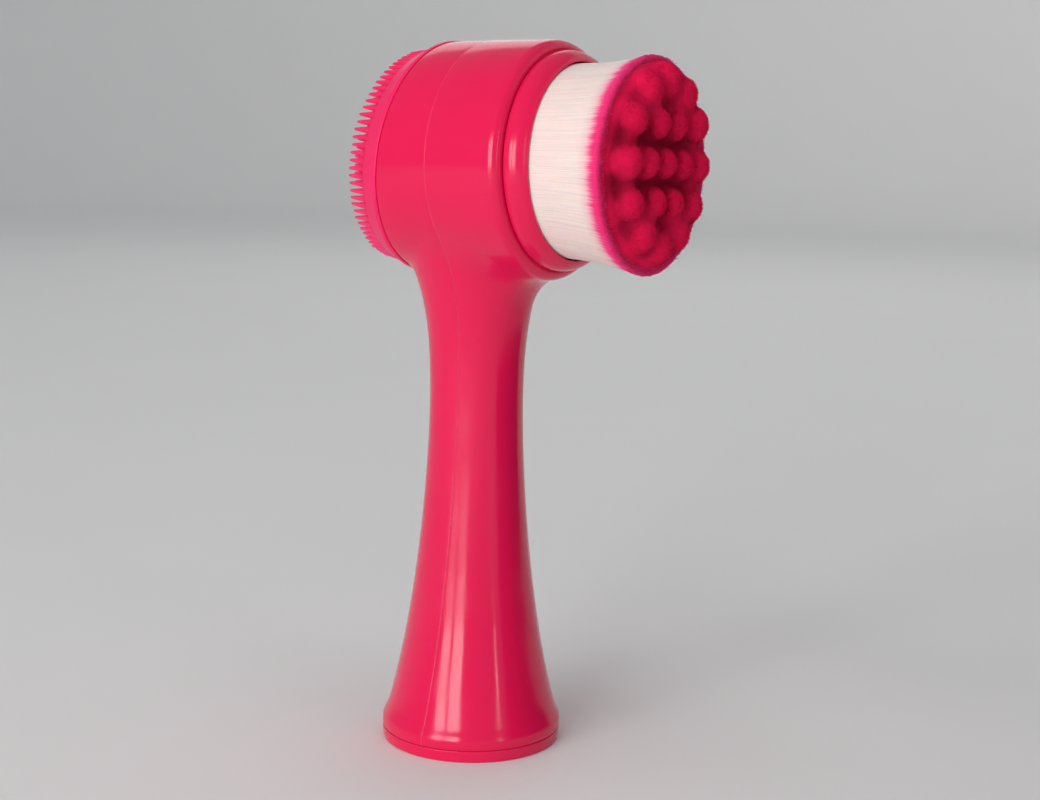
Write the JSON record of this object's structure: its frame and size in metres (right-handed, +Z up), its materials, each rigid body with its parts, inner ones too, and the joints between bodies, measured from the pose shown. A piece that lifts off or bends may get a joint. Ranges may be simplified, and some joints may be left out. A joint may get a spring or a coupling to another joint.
{
  "type": "facial cleansing brush",
  "caption": "Hand-held facial cleansing brush that stands on its flared base, with a round head of soft fibre clusters on one end of its barrel and a nubbed silicone pad on the other.",
  "frame": {"origin": "centre of the flat underside of the base, on the handle's axis", "axes": "+Z up along the handle, +X along the barrel from the silicone pad to the fibre brush, +Y across the barrel"},
  "size_m": [0.0685, 0.0504, 0.155],
  "materials": {
    "shell_plastic": "glossy",
    "cup_plastic": "glossy",
    "resin": "cured resin",
    "pale_fibre": "fine straight fibres",
    "dyed_fibre": "velvety fibre tips",
    "silicone": "matte silicone"
  },
  "bodies": {
    "body": {"front_shell": "shell_plastic", "rear_shell": "shell_plastic", "base_cap": "shell_plastic"},
    "brush_head": {"brush_cup": "cup_plastic", "potting_disc": "resin", "fibre_bundle": "pale_fibre", "fibre_cluster_01": "dyed_fibre", "fibre_cluster_02": "dyed_fibre", "fibre_cluster_03": "dyed_fibre", "fibre_cluster_04": "dyed_fibre", "fibre_cluster_05": "dyed_fibre", "fibre_cluster_06": "dyed_fibre", "fibre_cluster_07": "dyed_fibre", "fibre_cluster_08": "dyed_fibre", "fibre_cluster_09": "dyed_fibre", "fibre_cluster_10": "dyed_fibre", "fibre_cluster_11": "dyed_fibre", "fibre_cluster_12": "dyed_fibre", "fibre_cluster_13": "dyed_fibre", "fibre_cluster_14": "dyed_fibre", "fibre_cluster_15": "dyed_fibre", "fibre_cluster_16": "dyed_fibre", "fibre_cluster_17": "dyed_fibre", "fibre_cluster_18": "dyed_fibre", "fibre_cluster_19": "dyed_fibre"},
    "pad_head": {"silicone_pad": "silicone", "pad_carrier": "cup_plastic"}
  },
  "joints": [
    {"name": "brush_head_pull", "type": "slide", "parent": "body", "child": "brush_head", "axis": [1, 0, 0], "range_m": [0, 0.03]},
    {"name": "pad_head_pull", "type": "slide", "parent": "body", "child": "pad_head", "axis": [-1, 0, 0], "range_m": [0, 0.02]}
  ]
}
